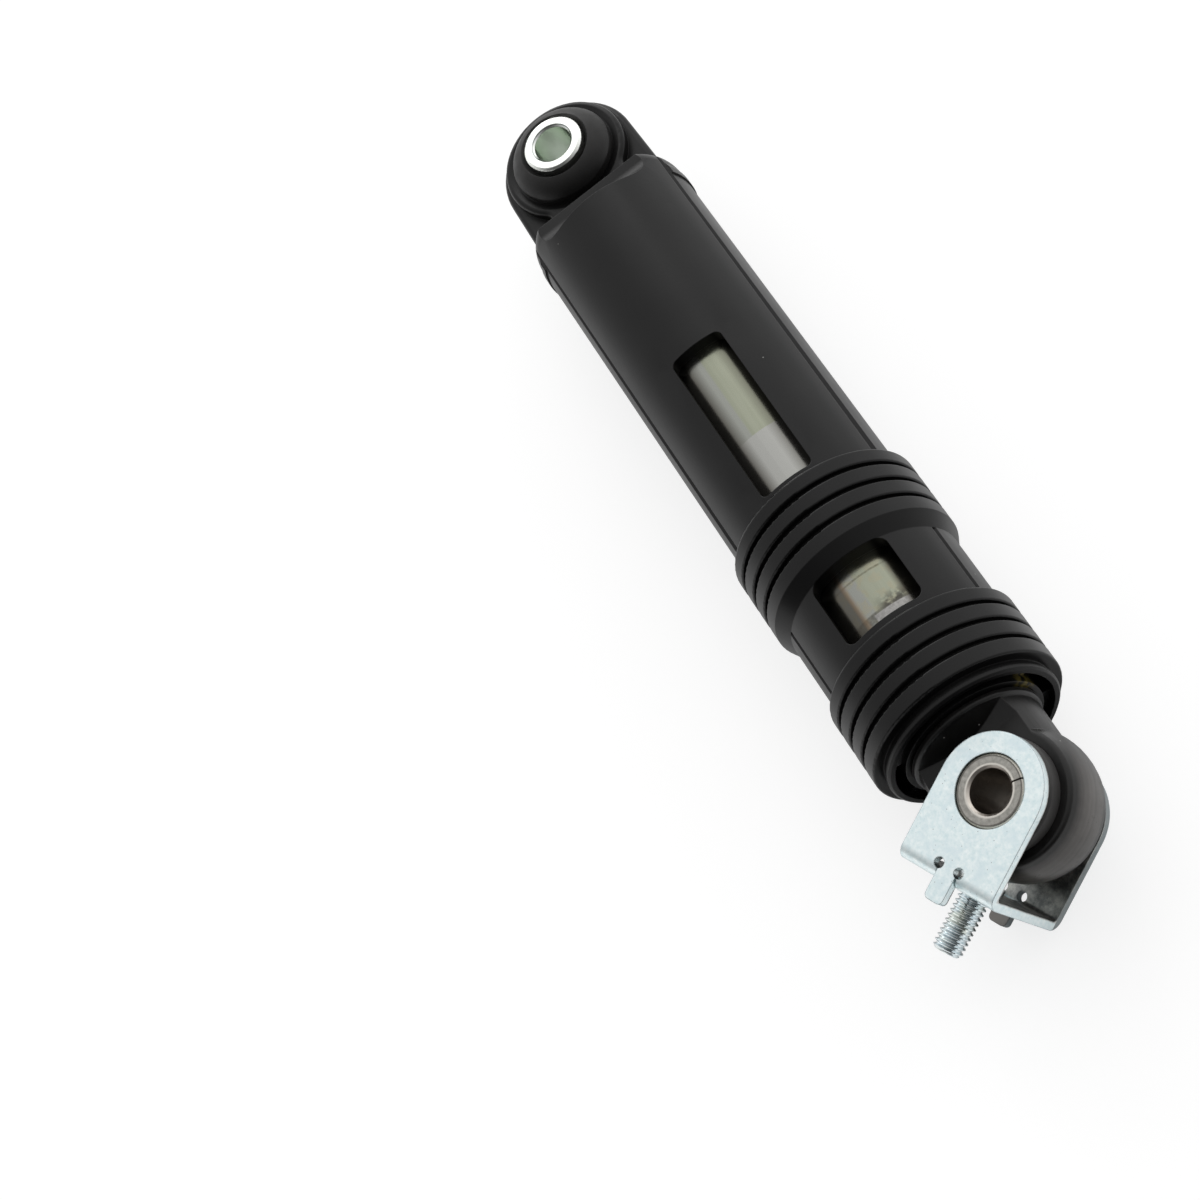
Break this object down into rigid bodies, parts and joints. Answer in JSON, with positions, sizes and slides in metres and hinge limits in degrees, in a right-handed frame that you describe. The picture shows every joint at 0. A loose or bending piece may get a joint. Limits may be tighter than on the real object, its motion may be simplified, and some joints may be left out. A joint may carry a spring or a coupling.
{
  "type": "washing machine shock absorber",
  "caption": "Friction damper for a washing machine drum: ribbed plastic housing with an eye, a rod that slides and turns in it, and a swinging steel bracket with a threaded stud.",
  "frame": {"origin": "middle of the housing eye, on the axis of its bolt bore", "axes": "+X along the damper from the housing eye to the rod eye, +Z along the bolt bore of the housing eye"},
  "size_m": [0.2168, 0.0485, 0.0404],
  "materials": {
    "housing_plastic": "satin black moulding",
    "liner_steel": "dull bare steel",
    "guide_plastic": "satin black",
    "hub_rubber": "matt black",
    "zinc_sleeve": "bright zinc plate",
    "lining_foam": "greased foam",
    "rod_plastic": "glossy black moulding",
    "rod_rubber": "matt black",
    "rolled_steel": "grey brown rolled steel",
    "bracket_zinc": "bluish zinc plate",
    "stud_zinc": "bright zinc plate"
  },
  "bodies": {
    "housing": {"housing": "housing_plastic", "liner_tube": "liner_steel", "guide_ring": "guide_plastic", "housing_eye_bush": "hub_rubber", "housing_eye_sleeve": "zinc_sleeve"},
    "lining": {"friction_lining": "lining_foam"},
    "rod": {"rod": "rod_plastic", "rod_eye_bush": "rod_rubber"},
    "bracket": {"bracket": "bracket_zinc", "stud": "stud_zinc", "rod_eye_sleeve": "rolled_steel"}
  },
  "joints": [
    {"name": "rod_slide", "type": "slide", "parent": "housing", "child": "lining", "axis": [1, 0, 0], "range_m": [0, 0.0795]},
    {"name": "rod_twist", "type": "hinge", "parent": "lining", "child": "rod", "pos_m": [0.184, 0, 0], "axis": [1, 0, 0], "continuous": true},
    {"name": "bracket_pivot", "type": "hinge", "parent": "rod", "child": "bracket", "pos_m": [0.184, 0, 0], "axis": [0, -0.2164, 0.9763], "range_deg": [-33, 167]}
  ]
}
